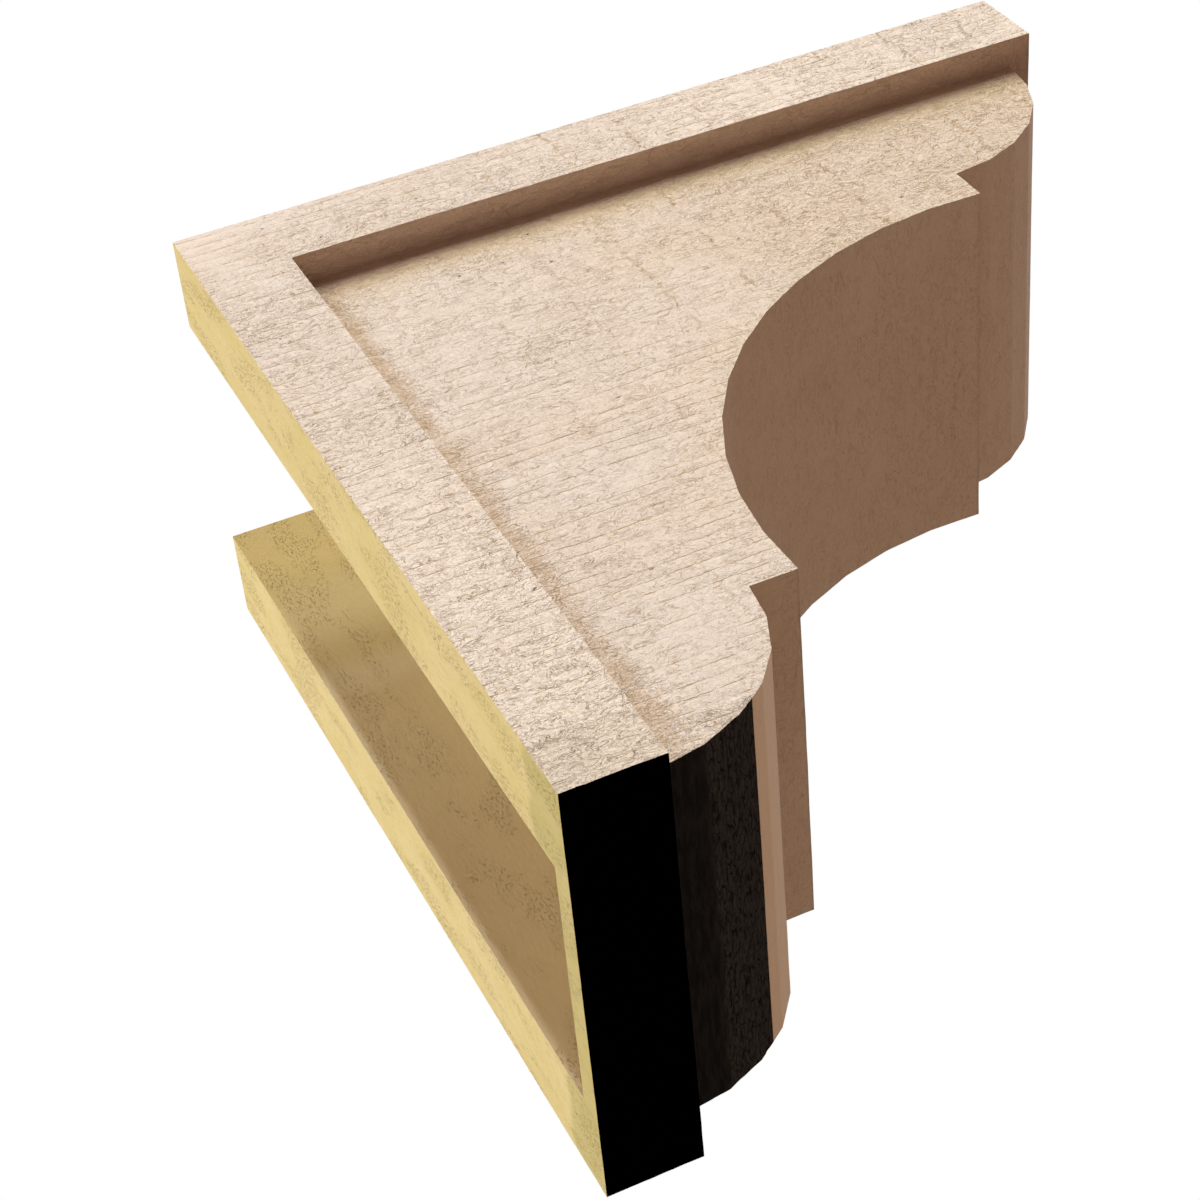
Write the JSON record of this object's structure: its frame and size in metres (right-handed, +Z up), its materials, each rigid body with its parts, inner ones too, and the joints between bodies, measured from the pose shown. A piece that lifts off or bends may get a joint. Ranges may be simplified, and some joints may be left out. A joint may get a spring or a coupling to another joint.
{
  "type": "corbel",
  "caption": "Hollow-backed wall corbel in faux rough-sawn timber, with matching back and top plates, rounded noses, a deep cove and recessed side panels.",
  "frame": {"origin": "middle of the narrow strip of the back, at the foot of the corbel, that closes the hollow and meets the wall", "axes": "+X along the width, +Y into the wall, +Z up; the corbel stands out from the wall towards -Y"},
  "size_m": [0.1524, 0.3048, 0.3048],
  "materials": {
    "sawn_finish": "matt, moulded rough-sawn timber relief, pale tan; bare yellow foam on the back edges, the top edges and inside the hollow"
  },
  "bodies": {
    "root": {"corbel_body": "sawn_finish"}
  },
  "joints": []
}
